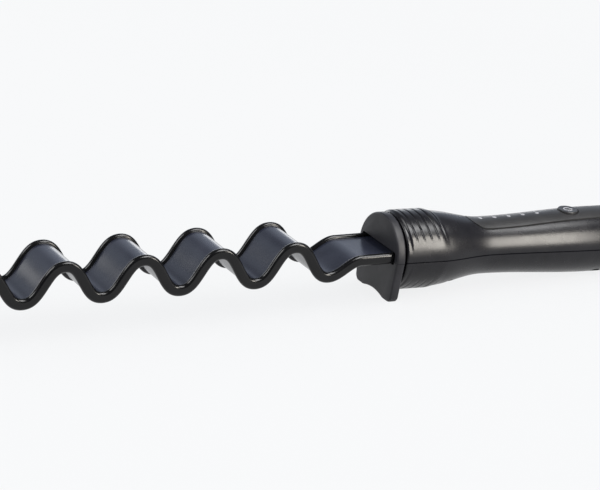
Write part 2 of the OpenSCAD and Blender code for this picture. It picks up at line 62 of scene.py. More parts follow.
MM = 0.001
BARREL_W = 30.0
WAVE_PITCH = 38.0
WAVE_AMP = 8.0
WAVE_COUNT = 5
WAVE_FLAT = 0.058
RUN_OUT = 16.6
SHANK_FRONT = 16.6
TIP_FLAT = 8.0
SHANK_DROP = 1.1
BARREL_DROOP = 1.35
BARREL_RISE = 2.55
RAIL_H = 5.2
RAIL_W = 3.2
RAIL_GRIP = 1.8
PLATE_T = 0.8
CORE_HALF = 0.4
TIP_LEN = 10.95
GUARD_T = 4.6
GUARD_R = 18.3
FOOT_DROP = 19.9
FOOT_HALF = 16.7
FOOT_CORNER = 3.6
ARCH_RISE = 1.1
HEAD_FRONT = 5.6
SPIGOT_R = 14.8
HEAD_R = 18.1
WAIST_R = 13.8
GRIP_R = 16.05
TAIL_R = 10.0
NECK_FROM = 24.0
NECK_TO = 56.5
TAIL_FROM = 128.0
HANDLE_LEN = 150.0
WALL = 2.2
PAD_RISE = 1.05
BELLY_RISE = 0.6
PAD_FROM = 8.6
RIB_COUNT = 5
RIB_PITCH = 4.0
RIB_LEAN = 12.0
RIB_WIDTH = 1.25
RIB_DEPTH = 0.55
FIRST_RIB = 4.6
RIB_FADE = (0.45, 0.45)
PAD_EDGE = 1.4
PAD_FADE = (0.2, 0.75)
HEAD_END = 40.0
OUTSIDE_R = 12.0
PANEL_HALF = 8.7
PANEL_GAP = 1.05
PANEL_DEPTH = 1.5
GROOVE_DEPTH = 0.8
PANEL_FRONT = 46.2
PANEL_BACK = 134.0
BUTTON_R = 5.0
BUTTON_X = 105.0
LED_COUNT = 5
LED_X = 54.7
LED_PITCH = 8.1
PIPE_R = 1.0
PIPE_FOOT = 7.3
PIPE_LEN = 9.5
BALL_R = 8.2
CORD_R = 3.3
NECK_R = 4.9
BALL_X = HANDLE_LEN - 4
BALL_FACE = BALL_X + BALL_R - 1.2
SCREW_SPOTS = ((36.0, 8.4), (120.9, 8.0))
SEAM_HALF = 0.08
# Half-width of the unshiny band along the parting line, which paints shade into the seam
SEAM_SHADE_HALF = 0.2
SEAM_DIP = 0.12
SEAM_DIP_REACH = 0.95

WEB_HALF = CORE_HALF + PLATE_T
PLATE_W = BARREL_W - 2 * (RAIL_W - RAIL_GRIP)
FIRST_TROUGH = -(SHANK_FRONT + RUN_OUT)
LAST_CREST = FIRST_TROUGH - (WAVE_COUNT - 0.5) * WAVE_PITCH
TIP_X = LAST_CREST - RUN_OUT - TIP_FLAT
TIP_END = TIP_X - TIP_LEN + TIP_FLAT - 1

# How far the cutting tools reach, past everything they cut

FAR = 60
TOP_CUT = (2, 40)
SKIN_SPAN = (30, 145)

# ---- The handle's and the barrel's own frames ----

swivel = next(j for j in frame["joints"] if j["name"] == "cord_swivel")
handle_along = Vector(swivel["axis"]).normalized()
handle_up = handle_along.cross(Vector((0, 1, 0)))
handle_start = Vector(swivel["pos_m"]) - BALL_X * MM * handle_along
HANDLE = Matrix((handle_along, (0, 1, 0), handle_up)).transposed().to_4x4()
HANDLE.translation = handle_start
BARREL = (HANDLE @ Matrix.Translation((0, 0, BARREL_RISE * MM))
          @ Matrix.Rotation(math.radians(-BARREL_DROOP), 4, "Y"))
TO_METRES = Matrix.Diagonal((MM, MM, MM, 1))

# ---- Camera ----

FOCAL_LENGTH = 158.14
CAMERA_AT = (-619.1, -986.1, 418.9)
CAMERA_TURN, CAMERA_LIFT, CAMERA_ROLL = map(math.radians, (-30.32, 19.98, 6.61))


def make_camera():
    back = Vector((math.sin(CAMERA_TURN) * math.cos(CAMERA_LIFT),
                   -math.cos(CAMERA_TURN) * math.cos(CAMERA_LIFT),
                   math.sin(CAMERA_LIFT)))
    across = Vector((math.cos(CAMERA_TURN), math.sin(CAMERA_TURN), 0))
    over = back.cross(across)
    right = across * math.cos(CAMERA_ROLL) + over * math.sin(CAMERA_ROLL)
    up = back.cross(right)
    place = Matrix((right, up, back)).transposed().to_4x4()
    place.translation = Vector(CAMERA_AT) * MM
    camera = bpy.data.objects.new("camera", bpy.data.cameras.new("camera"))
    camera.data.lens = FOCAL_LENGTH
    camera.data.sensor_width = 36.0
    camera.data.clip_start = 0.01
    camera.matrix_world = BARREL @ place
    scene.collection.objects.link(camera)
    scene.camera = camera
    return camera


camera = make_camera()

# ---- Node building: arithmetic on sockets, in geometry and shader trees ----


class Term:
    """A socket or a number that can be added, multiplied and so on."""

    def __init__(self, tree, value):
        self.tree, self.value = tree, value

    def math(self, operation, *others, clamp=False):
        node = self.tree.nodes.new("ShaderNodeMath")
        node.operation, node.use_clamp = operation, clamp
        for socket, term in zip(node.inputs, (self, *others)):
            put(self.tree, socket, term)
        return Term(self.tree, node.outputs[0])

    def __add__(self, other):
        return self.math("ADD", other)

    def __sub__(self, other):
        return self.math("SUBTRACT", other)

    def __mul__(self, other):
        return self.math("MULTIPLY", other)

    def __truediv__(self, other):
        return self.math("DIVIDE", other)


def put(tree, socket, term):
    """Links a term into a socket, or sets the socket to a number."""
    value = term.value if isinstance(term, Term) else term
    if isinstance(value, bpy.types.NodeSocket):
        tree.links.new(value, socket)
    else:
        socket.default_value = value


# ---- Materials ----


def shader(name, base, rough, **more):
    """A principled material. More sets any other of its sockets by name."""
    material = bpy.data.materials.new(name)
    material.use_nodes = True
    tree = material.node_tree
    bsdf = tree.nodes["Principled BSDF"]
    bsdf.inputs["Base Color"].default_value = (*base, 1)
    bsdf.inputs["Roughness"].default_value = rough
    for socket, value in more.items():
        bsdf.inputs[socket.replace("_", " ")].default_value = value
    material.diffuse_color = (*base, 1)
    return material, tree, bsdf


def object_noise(tree, scale, detail=3.0, stretch=None):
    """Noise on the piece's own coordinates, with scale in cycles per metre."""
    where = tree.nodes.new("ShaderNodeTexCoord").outputs["Object"]
    if stretch:
        mapping = tree.nodes.new("ShaderNodeMapping")
        mapping.inputs["Scale"].default_value = stretch
        tree.links.new(where, mapping.inputs["Vector"])
        where = mapping.outputs[0]
    noise = tree.nodes.new("ShaderNodeTexNoise")
    noise.inputs["Scale"].default_value = scale
    noise.inputs["Detail"].default_value = detail
    tree.links.new(where, noise.inputs["Vector"])
    return Term(tree, noise.outputs["Fac"])


def vary_rough(tree, bsdf, noise, low, high):
    span = tree.nodes.new("ShaderNodeMapRange")
    put(tree, span.inputs["Value"], noise)
    span.inputs["From Min"].default_value = 0.3
    span.inputs["From Max"].default_value = 0.7
    span.inputs["To Min"].default_value = low
    span.inputs["To Max"].default_value = high
    tree.links.new(span.outputs[0], bsdf.inputs["Roughness"])


def vary_colour(tree, bsdf, noise, dark, light):
    ramp = tree.nodes.new("ShaderNodeValToRGB")
    ramp.color_ramp.elements[0].position = 0.32
    ramp.color_ramp.elements[1].position = 0.68
    ramp.color_ramp.elements[0].color = (*dark, 1)
    ramp.color_ramp.elements[1].color = (*light, 1)
    put(tree, ramp.inputs["Fac"], noise)
    tree.links.new(ramp.outputs["Color"], bsdf.inputs["Base Color"])


def add_bump(tree, bsdf, height, depth_mm, strength=1.0):
    bump = tree.nodes.new("ShaderNodeBump")
    bump.inputs["Distance"].default_value = depth_mm * MM
    bump.inputs["Strength"].default_value = strength
    put(tree, bump.inputs["Height"], height)
    tree.links.new(bump.outputs[0], bsdf.inputs["Normal"])


def moulded(name, dark, light, rough, grain_mm, depth_mm, **more):
    """Moulded plastic: fine spark-eroded grain and slightly uneven gloss."""
    material, tree, bsdf = shader(name, light, rough, **more)
    vary_colour(tree, bsdf, object_noise(tree, 160, 2), dark, light)
    vary_rough(tree, bsdf, object_noise(tree, 90, 4), rough - 0.03, rough + 0.04)
    add_bump(tree, bsdf, object_noise(tree, 1 / (grain_mm * MM), 2), depth_mm, 0.5)
    return material


def paint_seam_shade(material, shine):
    """Takes the shine off the parting line, where the two shells' edges meet: painted shade, a dull
    band standing in for the shade in the seam gap.
    """
    tree = material.node_tree
    where = tree.nodes.new("ShaderNodeTexCoord").outputs["Object"]
    along_up = tree.nodes.new("ShaderNodeVectorMath")
    along_up.operation = "DOT_PRODUCT"
    along_up.inputs[1].default_value = handle_up
    tree.links.new(where, along_up.inputs[0])
    height = Term(tree, along_up.outputs["Value"]) - handle_start.dot(handle_up)
    share = (height.math("ABSOLUTE") / MM - SEAM_SHADE_HALF) / SEAM_SHADE_HALF
    shiny = share.math("MAXIMUM", 0.0).math("MINIMUM", 1.0) * shine
    put(tree, tree.nodes["Principled BSDF"].inputs["Specular IOR Level"], shiny)


def metal(name, dark, light, rough, brush=(1, 1, 12)):
    """Metal with fine drawing marks along the first axes."""
    material, tree, bsdf = shader(name, light, rough, Metallic=1.0)
    marks = object_noise(tree, 900, 3, brush)
    vary_colour(tree, bsdf, marks, dark, light)
    vary_rough(tree, bsdf, marks, rough - 0.05, rough + 0.08)
    add_bump(tree, bsdf, marks, 0.01, 0.4)
    return material


def coating_material():
    """Satin ceramic coating with a faint bluish cloudiness and fine specks."""
    material, tree, bsdf = shader("slate_ceramic_coating", (0.014, 0.016, 0.026), 0.2)
    cloud = object_noise(tree, 70, 4)
    vary_colour(tree, bsdf, cloud, (0.012, 0.014, 0.023), (0.018, 0.02, 0.031))
    vary_rough(tree, bsdf, cloud, 0.17, 0.23)
    add_bump(tree, bsdf, object_noise(tree, 2600, 2), 0.004, 0.3)
    return material


def rail_material():
    """Gloss black lacquer with the soft ripple of a sprayed coat."""
    material, tree, bsdf = shader("rail_gloss_lacquer", (0.0025, 0.0025, 0.003), 0.2,
                                  Specular_IOR_Level=0.28)
    vary_rough(tree, bsdf, object_noise(tree, 60, 1), 0.18, 0.22)
    vary_colour(tree, bsdf, object_noise(tree, 120, 2),
                (0.002, 0.002, 0.0025), (0.0035, 0.0035, 0.004))
    add_bump(tree, bsdf, object_noise(tree, 60, 0), 0.02, 0.2)
    return material


def mica_material():
    """Mica sheet: flaky amber layers."""
    material, tree, bsdf = shader("mica_sheet", (0.5, 0.42, 0.27), 0.45)
    flakes = tree.nodes.new("ShaderNodeTexVoronoi")
    flakes.inputs["Scale"].default_value = 700
    where = tree.nodes.new("ShaderNodeTexCoord")
    tree.links.new(where.outputs["Object"], flakes.inputs["Vector"])
    cells = Term(tree, flakes.outputs["Distance"])
    vary_colour(tree, bsdf, cells, (0.36, 0.28, 0.16), (0.6, 0.52, 0.36))
    add_bump(tree, bsdf, cells, 0.03, 0.5)
    return material


def board_material():
    """Solder mask over copper tracks."""
    material, tree, bsdf = shader("board_solder_mask", (0.02, 0.13, 0.06), 0.35)
    tracks = object_noise(tree, 420, 1, (0.35, 2.2, 1))
    vary_colour(tree, bsdf, tracks.math("GREATER_THAN", 0.52),
                (0.012, 0.09, 0.04), (0.03, 0.18, 0.08))
    vary_rough(tree, bsdf, object_noise(tree, 800, 2), 0.3, 0.42)
    add_bump(tree, bsdf, tracks.math("GREATER_THAN", 0.52), 0.03, 0.5)
    return material


def sleeve_material(name, dark, light):
    """Woven silicone sleeve: fine diagonal braid."""
    material, tree, bsdf = shader(name, light, 0.6)
    braid = tree.nodes.new("ShaderNodeTexWave")
    braid.bands_direction = "DIAGONAL"
    braid.inputs["Scale"].default_value = 260
    braid.inputs["Distortion"].default_value = 1.2
    where = tree.nodes.new("ShaderNodeTexCoord")
    tree.links.new(where.outputs["Object"], braid.inputs["Vector"])
    weave = Term(tree, braid.outputs["Fac"])
    vary_colour(tree, bsdf, weave, dark, light)
    add_bump(tree, bsdf, weave, 0.05, 0.5)
    return material


SHELL_SHINE = 0.3

COATING = coating_material()
RAIL = rail_material()
MICA = mica_material()
BOARD = board_material()
TIP = moulded("tip_gloss_plastic", (0.004, 0.004, 0.005), (0.007, 0.007, 0.008), 0.28, 0.35, 0.02,
              Specular_IOR_Level=0.3)
GUARD = moulded("guard_charcoal_plastic", (0.008, 0.008, 0.0105), (0.013, 0.013, 0.0165),
                0.45, 0.3, 0.03, Specular_IOR_Level=0.28)
SHELL = moulded("shell_soft_touch", (0.004, 0.004, 0.0055), (0.006, 0.006, 0.0078),
                0.27, 0.28, 0.015, Specular_IOR_Level=SHELL_SHINE)
# Painted shade: no shine along the parting line, in place of the seam gap's shade
paint_seam_shade(SHELL, SHELL_SHINE)
PANEL = moulded("panel_satin_plastic", (0.012, 0.012, 0.013), (0.017, 0.017, 0.018),
                0.38, 0.3, 0.02, Specular_IOR_Level=0.35)
BUTTON = moulded("button_satin_plastic", (0.009, 0.009, 0.01), (0.014, 0.014, 0.015),
                 0.34, 0.3, 0.015, Specular_IOR_Level=0.35)
MARK = moulded("mark_pale_ink", (0.26, 0.26, 0.28), (0.33, 0.33, 0.35), 0.5, 0.2, 0.01)
LIGHT_PIPE = moulded("light_pipe_frosted", (0.18, 0.18, 0.19), (0.23, 0.23, 0.245), 0.4, 0.25, 0.02)
BALL = moulded("ball_black_plastic", (0.012, 0.012, 0.013), (0.02, 0.02, 0.021), 0.38, 0.3, 0.02)
CERAMIC = moulded("fired_ceramic", (0.66, 0.64, 0.58), (0.78, 0.76, 0.7), 0.6, 0.5, 0.04)
SHIELD = moulded("fibre_board", (0.5, 0.46, 0.36), (0.66, 0.62, 0.52), 0.75, 0.4, 0.06)
CHIP = moulded("chip_epoxy", (0.012, 0.012, 0.012), (0.025, 0.025, 0.025), 0.55, 0.2, 0.03)
CAPACITOR = moulded("capacitor_case", (0.3, 0.05, 0.02), (0.42, 0.08, 0.03), 0.35, 0.4, 0.02)
LED = moulded("led_epoxy", (0.6, 0.52, 0.28), (0.75, 0.68, 0.4), 0.2, 0.3, 0.01)
PLUNGER = moulded("plunger_red_plastic", (0.36, 0.02, 0.02), (0.5, 0.04, 0.03), 0.35, 0.3, 0.02)
STEEL = metal("plated_steel", (0.42, 0.42, 0.44), (0.62, 0.62, 0.64), 0.3)
FOIL = metal("resistance_foil", (0.38, 0.24, 0.13), (0.6, 0.42, 0.26), 0.4)
BRASS = metal("contact_brass", (0.5, 0.34, 0.12), (0.72, 0.54, 0.24), 0.25)
HEATER_SLEEVE = sleeve_material("sleeve_white", (0.48, 0.48, 0.44), (0.66, 0.66, 0.62))
MAINS_SLEEVE = sleeve_material("sleeve_blue", (0.03, 0.08, 0.28), (0.06, 0.14, 0.42))

CAD_FINISH = {
    COATING: ("upper_plate", "lower_plate"),
    RAIL: ("left_rail", "right_rail"),
    TIP: ("tip_cap",),
    MICA: ("upper_mica", "lower_mica"),
    FOIL: ("heater_foil",),
    STEEL: ("tip_screw", "shank_pins", "board_screws", "case_screws"),
    CERAMIC: ("upper_collar", "lower_collar", "thermistor", "thermal_fuse", "board_fuse",
              "brush_block"),
    SHIELD: ("heat_shield",),
    GUARD: ("upper_guard", "lower_guard"),
    SHELL: ("upper_shell", "lower_shell"),
    PANEL: ("control_panel",),
    BUTTON: ("power_button",),
    LIGHT_PIPE: ("light_pipes",),
    PLUNGER: ("switch_plunger",),
    CHIP: ("tact_switch", "controller_chip", "triac"),
    BOARD: ("circuit_board",),
    LED: ("indicator_leds",),
    CAPACITOR: ("capacitor",),
    HEATER_SLEEVE: ("heater_leads",),
    MAINS_SLEEVE: ("mains_leads",),
    BALL: ("swivel_ball",),
    BRASS: ("slip_rings", "contact_springs"),
}
for finish, names in CAD_FINISH.items():
    for name in names:
        node = frame["nodes"][name]
        node.data.materials.clear()
        node.data.materials.append(finish)

# ---- Mesh building ----


def new_object(name, mesh):
    made = bpy.data.objects.new(name, mesh)
    scene.collection.objects.link(made)
    return made


def mesh_object(name, points, faces):
    mesh = bpy.data.meshes.new(name)
    mesh.from_pydata([tuple(p) for p in points], [], faces)
    return new_object(name, mesh)


def bake(made):
    """Applies an object's modifiers and returns it."""
    graph = bpy.context.evaluated_depsgraph_get()
    mesh = bpy.data.meshes.new_from_object(made.evaluated_get(graph))
    made.modifiers.clear()
    made.data = mesh
    return made


def face_outwards(made):
    work = bmesh.new()
    work.from_mesh(made.data)
    bmesh.ops.remove_doubles(work, verts=work.verts, dist=1e-4)
    bmesh.ops.recalc_face_normals(work, faces=work.faces)
    work.to_mesh(made.data)
    work.free()
    return made


def skin_faces(rows, count):
    """Faces between rows of points, closed at both ends."""
    faces = [[a * count + i, a * count + (i + 1) % count,
              (a + 1) * count + (i + 1) % count, (a + 1) * count + i]
             for a in range(rows - 1) for i in range(count)]
    faces.append(list(range(count)))
    faces.append([(rows - 1) * count + i for i in range(count)][::-1])
    return faces


def revolve(name, profile, steps=144):
    """Turns (x, radius) points about X into a closed solid."""
    rings = []
    points = []
    for x, r in profile:
        if r < 1e-6:
            rings.append([len(points)])
            points.append((x, 0, 0))
            continue
        first = len(points)
        rings.append(list(range(first, first + steps)))
        points += [(x, r * math.cos(a), r * math.sin(a))
                   for a in (2 * math.pi * i / steps for i in range(steps))]
    faces = []
    for low, high in zip(rings, rings[1:] + rings[:1]):
        if len(low) == 1 and len(high) == 1:
            continue
        for i in range(steps):
            quad = [low[i % len(low)], low[(i + 1) % len(low)],
                    high[(i + 1) % len(high)], high[i % len(high)]]
            faces.append([v for k, v in enumerate(quad) if v not in quad[:k]])
    return face_outwards(mesh_object(name, points, faces))


def prism(name, outline, low, high, axis="Z"):
    """Extrudes an outline along Z, or a (y, z) outline along X."""
    count = len(outline)
    place = (lambda p, q, h: (p, q, h)) if axis == "Z" else (lambda p, q, h: (h, p, q))
    points = [place(*p, low) for p in outline] + [place(*p, high) for p in outline]
    faces = [list(range(count))[::-1], list(range(count, 2 * count))]
    faces += [[i, (i + 1) % count, count + (i + 1) % count, count + i] for i in range(count)]
    return face_outwards(mesh_object(name, points, faces))


def block(name, low, high):
    outline = [(low[0], low[1]), (high[0], low[1]), (high[0], high[1]), (low[0], high[1])]
    return prism(name, outline, low[2], high[2])


def cut(made, tool, operation="DIFFERENCE"):
    """Booleans a tool with a solid and throws the tool away."""
    step = made.modifiers.new("cut", "BOOLEAN")
    step.operation, step.object, step.solver = operation, tool, "MANIFOLD"
    bake(made)
    bpy.data.objects.remove(tool)
    return made


def soften(made, width, steps=3, angle=35.0):
    """Rounds the sharp edges."""
    step = made.modifiers.new("edges", "BEVEL")
    step.width, step.segments = width, steps
    step.limit_method, step.angle_limit = "ANGLE", math.radians(angle)
    step.harden_normals = False
    return bake(made)


def finish_piece(made, where, material, body, slot, *nodes, sharp=32.0):
    """Puts a piece in place in metres, with its finish, and hides what it stands for."""
    made.data.transform(where @ TO_METRES)
    made.data.materials.clear()
    made.data.materials.append(material)
    made.data.polygons.foreach_set("use_smooth", [True] * len(made.data.polygons))
    made.data.polygons.foreach_set("material_index", [0] * len(made.data.polygons))
    made.data.set_sharp_from_angle(angle=math.radians(sharp))
    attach(made, body)
    if nodes:
        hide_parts(*nodes)
    return made


def arc(centre, radius, start, end, steps):
    """Points on an arc, with its angles in degrees."""
    return [(centre[0] + radius * math.cos(math.radians(a)),
             centre[1] + radius * math.sin(math.radians(a)))
            for a in np.linspace(start, end, steps)]


# ---- The barrel: straight bars, bent by one geometry tree ----


def wave_height_group():
    """Height of the wave's middle line above a station along the barrel."""
    tree = bpy.data.node_groups.new("wave height", "GeometryNodeTree")
    names = ("Station", "Pitch", "Amplitude", "Flatness",
             "First Trough", "Last Crest", "Run Out", "End Drop")
    for name in names:
        tree.interface.new_socket(name, in_out="INPUT", socket_type="NodeSocketFloat")
    tree.interface.new_socket("Height", in_out="OUTPUT", socket_type="NodeSocketFloat")
    given = tree.nodes.new("NodeGroupInput")
    x, pitch, amp, flat, trough, crest, run, drop = (Term(tree, given.outputs[n]) for n in names)
    turn = (x - trough) / pitch * (2 * math.pi)
    row = turn.math("COSINE") - flat * (turn * 3.0).math("COSINE")
    row = row / (Term(tree, 1.0) - flat) * amp * -1.0

    def ease(distance):
        share = (distance / run).math("MAXIMUM", 0.0).math("MINIMUM", 1.0)
        return ((share * math.pi).math("COSINE") + 1.0) * 0.5

    shank = drop * -1.0 - (amp - drop) * ease(x - trough)
    tip = drop * -1.0 + (amp + drop) * ease(crest - x)
    on_shank = x.math("GREATER_THAN", trough)
    on_tip = x.math("LESS_THAN", crest)
    on_row = (Term(tree, 1.0) - on_shank) - on_tip
    height = shank * on_shank + row * on_row + tip * on_tip
    result = tree.nodes.new("NodeGroupOutput")
    put(tree, result.inputs["Height"], height)
    return tree


def wave_bend_tree():
    """Bends a straight bar so that its height is measured square to the wave."""
    height_group = wave_height_group()
    tree = bpy.data.node_groups.new("bend into waves", "GeometryNodeTree")
    tree.interface.new_socket("Geometry", in_out="INPUT", socket_type="NodeSocketGeometry")
    sizes = {"Pitch": WAVE_PITCH, "Amplitude": WAVE_AMP, "Flatness": WAVE_FLAT,
             "First Trough": FIRST_TROUGH, "Last Crest": LAST_CREST,
             "Run Out": RUN_OUT, "End Drop": SHANK_DROP}
    for name, size in sizes.items():
        socket = tree.interface.new_socket(name, in_out="INPUT", socket_type="NodeSocketFloat")
        socket.default_value = size
    tree.interface.new_socket("Finish", in_out="INPUT", socket_type="NodeSocketMaterial")
    tree.interface.new_socket("Geometry", in_out="OUTPUT", socket_type="NodeSocketGeometry")
    given = tree.nodes.new("NodeGroupInput")
    parts = tree.nodes.new("ShaderNodeSeparateXYZ")
    tree.links.new(tree.nodes.new("GeometryNodeInputPosition").outputs[0], parts.inputs[0])
    x, y, off = (Term(tree, parts.outputs[i]) for i in range(3))

    def height(station):
        node = tree.nodes.new("GeometryNodeGroup")
        node.node_tree = height_group
        put(tree, node.inputs["Station"], station)
        for name in sizes:
            tree.links.new(given.outputs[name], node.inputs[name])
        return Term(tree, node.outputs[0])

    step = 0.02
    slope = (height(x + step) - height(x - step)) / (2 * step)
    angle = slope.math("ARCTANGENT")
    joined = tree.nodes.new("ShaderNodeCombineXYZ")
    put(tree, joined.inputs[0], x - off * angle.math("SINE"))
    put(tree, joined.inputs[1], y)
    put(tree, joined.inputs[2], height(x) + off * angle.math("COSINE"))
    move = tree.nodes.new("GeometryNodeSetPosition")
    tree.links.new(given.outputs["Geometry"], move.inputs["Geometry"])
    tree.links.new(joined.outputs[0], move.inputs["Position"])
    paint = tree.nodes.new("GeometryNodeSetMaterial")
    tree.links.new(move.outputs[0], paint.inputs["Geometry"])
    tree.links.new(given.outputs["Finish"], paint.inputs["Material"])
    result = tree.nodes.new("NodeGroupOutput")
    tree.links.new(paint.outputs[0], result.inputs["Geometry"])
    return tree


def socket_id(tree, name):
    return next(s.identifier for s in tree.interface.items_tree
                if s.name == name and s.in_out == "INPUT")


def run_tree(made, tree, **inputs):
    """Runs a geometry tree on an object, with inputs by name, and bakes it."""
    step = made.modifiers.new("tree", "NODES")
    step.node_group = tree
    for name, value in inputs.items():
        step[socket_id(tree, name.replace("_", " "))] = value
    return bake(made)


WAVE_BEND = wave_bend_tree()
STATION_STEP = 0.6


def bent_bar(name, profile, start, end, finish):
    """A bar with a (y, height) profile, bent into waves."""
    stations = np.linspace(start, end, int((end - start) / STATION_STEP) + 1)
    count = len(profile)
    points = [(x, y, n) for x in stations for y, n in profile]
    faces = skin_faces(len(stations), count)
    made = face_outwards(mesh_object(name, points, faces))
    return run_tree(made, WAVE_BEND, Finish=finish)


def rail_profile(side):
    """A rounded bead that stands proud of both plates and grips their edges."""
    top = RAIL_H / 2
    outer = BARREL_W / 2
    inner = outer - RAIL_W
    grip = WEB_HALF + 0.03
    half = [(inner + RAIL_GRIP, grip), (inner + 0.02, grip), (inner + 0.1, grip + 0.28)]
    half += arc((inner + 1.5, top - 1.3), 1.3, 165, 90, 12)
    half += arc((outer - 1.55, top - 1.55), 1.55, 90, 0, 16)
    loop = half + [(y, -n) for y, n in reversed(half)]
    return [(side * y, n) for y, n in loop]


def plate_profile(low, high):
    half = PLATE_W / 2
    edge = 0.15
    return [(-half, low + edge), (-half + edge, low), (half - edge, low), (half, low + edge),
            (half, high - edge), (half - edge, high), (-half + edge, high), (-half, high - edge)]


def make_barrel():
    rail_end = TIP_X + TIP_FLAT - 2
    for name, side in (("left_rail", -1), ("right_rail", 1)):
        made = bent_bar(name + "_bead", rail_profile(side), rail_end, 2.5, RAIL)
        finish_piece(made, BARREL, RAIL, "wand", "rail_gloss", name)
    for name, low, high in (("upper_plate", CORE_HALF, WEB_HALF),
                            ("lower_plate", -WEB_HALF, -CORE_HALF)):
        made = bent_bar(name + "_coated", plate_profile(low, high), TIP_X, 23.0, COATING)
        finish_piece(made, BARREL, COATING, "wand", "plate_coating", name)


def make_tip_cap():
    """A closed cap with round corners and a rolled nose."""
    half = BARREL_W / 2
    thick = (RAIL_H + 0.8) / 2
    corner = 5.0
    root = TIP_X + TIP_FLAT - 2.05
    nose = arc((TIP_END + corner, half - corner), corner, 90, 180, 12)
    nose += arc((TIP_END + corner, -half + corner), corner, 180, 270, 12)
    outline = [(root, half)] + nose + [(root, -half)]
    cap = prism("tip_cap_moulded", outline, -thick, thick)
    cap = soften(cap, 1.6, 5, 50)
    slot = block("tool", (TIP_X, -PLATE_W / 2, -WEB_HALF), (root + 5, PLATE_W / 2, WEB_HALF))
    cap = cut(cap, slot)
    screw_x = TIP_X + 3
    well = prism("tool", arc((screw_x, 0), 2.0, 0, 345, 24), -thick - 1, -2.1)
    cap = cut(cap, well)
    bore = prism("tool", arc((screw_x, 0), 1.05, 0, 345, 24), -thick - 1, 2.2)
    cap = cut(cap, bore)
    place = BARREL @ Matrix.Translation((0, 0, -SHANK_DROP * MM))
    finish_piece(cap, place, TIP, "wand", "rail_gloss", "tip_cap")


# ---- Guard ----


def guard_outline():
    """The round upper part and the two feet with the arch between them."""
    corner_y = FOOT_HALF - FOOT_CORNER
    corner_z = -FOOT_DROP - 0.6 + FOOT_CORNER
    arch_half = FOOT_HALF - 2 * FOOT_CORNER
    arch_drop = ARCH_RISE + 0.6
    arch_r = (arch_half ** 2 + arch_drop ** 2) / (2 * arch_drop)
    arch_top = -FOOT_DROP + ARCH_RISE
    round_part = arc((0, 0), GUARD_R, 0, 180, 97)
    left = arc((-corner_y, corner_z), FOOT_CORNER, 180, 270, 13)
    right = arc((corner_y, corner_z), FOOT_CORNER, 270, 360, 13)
    sole = corner_z - FOOT_CORNER
    half_span = math.sqrt(max(0, arch_r ** 2 - (sole - arch_top + arch_r) ** 2))
    reach = math.degrees(math.asin(half_span / arch_r))
    arch = arc((0, arch_top - arch_r), arch_r, 90 + reach, 90 - reach, 25)
    return round_part + left + arch + right


def make_guard():
    for name, low, high in (("upper_guard", SEAM_HALF, FAR), ("lower_guard", -FAR, -SEAM_HALF)):
        made = prism(name + "_moulded", guard_outline(), 0, GUARD_T, "X")
        made = soften(made, 0.9, 4, 50)
        made = cut(made, block("tool", (-20, -FAR, low), (FAR, FAR, high)), "INTERSECT")
        flange = HEAD_FRONT + 2.5
        bore = SPIGOT_R - 2.2
        spigot = revolve("tool", [(GUARD_T - 1, 0), (GUARD_T - 1, SPIGOT_R), (flange, SPIGOT_R),
                                  (flange, SPIGOT_R + 0.9), (flange + 2, SPIGOT_R + 0.9),
                                  (flange + 2, bore), (GUARD_T + 0.02, bore),
                                  (GUARD_T + 0.02, 0)], 96)
        spigot = cut(spigot, block("tool", (-20, -FAR, low), (FAR, FAR, high)), "INTERSECT")
        made = cut(made, spigot, "UNION")
        made = cut(made, slot_tool())
        made = cut(made, ground_tool())
        finish_piece(made, HANDLE, GUARD, "wand", "guard_matte", name)


def slot_tool():
    """The hole that the barrel's shank passes through, in the handle's frame."""
    half_y = BARREL_W / 2 + 0.5
    half_z = RAIL_H / 2 + 0.5
    corner = 1.1
    loop = []
    for y, z, start in ((1, 1, 0), (-1, 1, 90), (-1, -1, 180), (1, -1, 270)):
        loop += arc((y * (half_y - corner), z * (half_z - corner)), corner, start, start + 90, 6)
    tool = prism("tool", loop, -5, 3.0, "X")
    neck = block("neck", (2, -PLATE_W / 2 - 0.3, -WEB_HALF - 0.3),
                 (30, PLATE_W / 2 + 0.3, WEB_HALF + 0.3))
    tool = cut(tool, neck, "UNION")
    tilt = (Matrix.Translation((0, 0, BARREL_RISE))
            @ Matrix.Rotation(math.radians(-BARREL_DROOP), 4, "Y"))
    tool.data.transform(tilt @ Matrix.Translation((0, 0, -SHANK_DROP)))
    return tool


def ground_tool():
    """Everything under the surface that the wand stands on, in the handle's frame."""
    tool = block("tool", (-400, -FAR, -FAR), (400, FAR, 0))
    to_handle = TO_METRES.inverted() @ HANDLE.inverted() @ TO_METRES
    tool.data.transform(to_handle)
    return tool


# ---- Shells ----


def ease(q):
    return (1 + math.cos(math.pi * min(max(q, 0), 1))) / 2


def handle_r(x):
    """The handle's radius at a place along it."""
    if x < NECK_FROM:
        return HEAD_R
    if x < NECK_TO:
        return WAIST_R + (HEAD_R - WAIST_R) * ease((x - NECK_FROM) / (NECK_TO - NECK_FROM))
    if x < TAIL_FROM:
        return GRIP_R - (GRIP_R - WAIST_R) * ease((x - NECK_TO) / (TAIL_FROM - 9 - NECK_TO))
    share = (x - TAIL_FROM) / (HANDLE_LEN - TAIL_FROM)
    return TAIL_R + (GRIP_R - TAIL_R) * math.sqrt(max(0, 1 - share ** 2))


def turned(name, off, start, end, step=0.8):
    stations = np.linspace(start, end, int((end - start) / step) + 1)
    return revolve(name, [(start, 0)] + [(x, handle_r(x) + off) for x in stations] + [(end, 0)])


